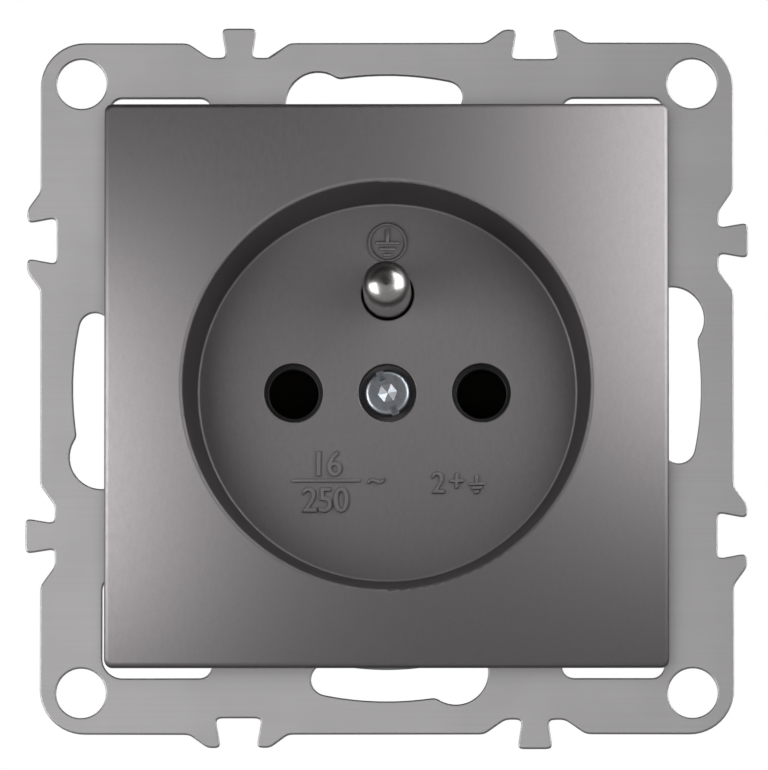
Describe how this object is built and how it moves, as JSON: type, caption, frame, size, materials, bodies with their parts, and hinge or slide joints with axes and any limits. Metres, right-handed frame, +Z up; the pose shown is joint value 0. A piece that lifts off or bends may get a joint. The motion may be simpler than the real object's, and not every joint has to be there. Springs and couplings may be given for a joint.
{
  "type": "wall socket",
  "caption": "Flush wall socket with a round well, twin contact holes and an earth pin, on a square steel mounting frame with spreader claws.",
  "frame": {"origin": "on the socket's axis, in the wall plane, where the rear face of the mounting frame lies", "axes": "+Z up, +X to the viewer's right, +Y into the wall; the front faces -Y"},
  "size_m": [0.0728, 0.0376, 0.0728],
  "materials": {
    "frame_steel": "rolled and zinc plated, satin",
    "cover_paint": "satin metallic graphite paint on moulded plastic",
    "zinc_steel": "blue passivated zinc",
    "base_plastic": "matt moulded polyamide",
    "contact_brass": "bright brass strip",
    "pin_nickel": "polished nickel plate"
  },
  "bodies": {
    "socket": {"mounting_frame": "frame_steel", "cover_plate": "cover_paint", "cover_screw": "zinc_steel", "cover_nut": "contact_brass", "contact_retainer": "base_plastic", "base_body": "base_plastic", "line_contact_right": "contact_brass", "line_contact_left": "contact_brass", "line_clamp_right": "zinc_steel", "line_clamp_left": "zinc_steel", "line_screw_right": "zinc_steel", "line_screw_left": "zinc_steel", "earth_pin": "pin_nickel", "earth_strap": "contact_brass", "earth_clamp": "zinc_steel", "earth_screw": "zinc_steel", "claw_screw_left": "zinc_steel", "claw_screw_right": "zinc_steel", "frame_screw_upper": "zinc_steel", "frame_screw_lower": "zinc_steel"},
    "claw_left": {"claw_left": "frame_steel"},
    "claw_right": {"claw_right": "frame_steel"}
  },
  "joints": [
    {"name": "claw_left_swing", "type": "hinge", "parent": "socket", "child": "claw_left", "pos_m": [-0.0239, 0.0025, 0.011], "axis": [0, 0, 1], "range_deg": [0, 20]},
    {"name": "claw_right_swing", "type": "hinge", "parent": "socket", "child": "claw_right", "pos_m": [0.0239, 0.0025, -0.011], "axis": [0, 0, -1], "range_deg": [0, 20]}
  ]
}
